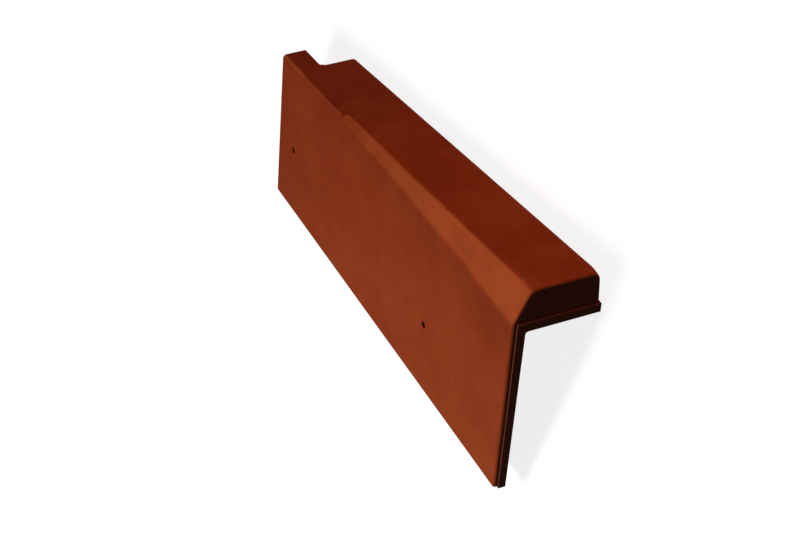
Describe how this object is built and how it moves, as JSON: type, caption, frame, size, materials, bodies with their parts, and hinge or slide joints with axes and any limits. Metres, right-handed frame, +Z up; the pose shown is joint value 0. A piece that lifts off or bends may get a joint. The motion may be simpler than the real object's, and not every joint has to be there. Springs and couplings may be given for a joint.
{
  "type": "verge tile",
  "caption": "Left-hand fired-clay verge tile: a tall flat skirt with nail holes and a tapered wing with a raised, faceted nose that caps the edge of a tiled roof.",
  "frame": {"origin": "middle of the footprint's box, on the floor", "axes": "+Y from the front edge with the raised nose to the rear end with the lug, +X from the skirt's foot towards the wing, +Z up off the floor that the tile lies on"},
  "size_m": [0.2094, 0.4222, 0.0754],
  "materials": {
    "fired_clay": "matt, unglazed"
  },
  "bodies": {
    "root": {"verge_tile": "fired_clay"}
  },
  "joints": []
}
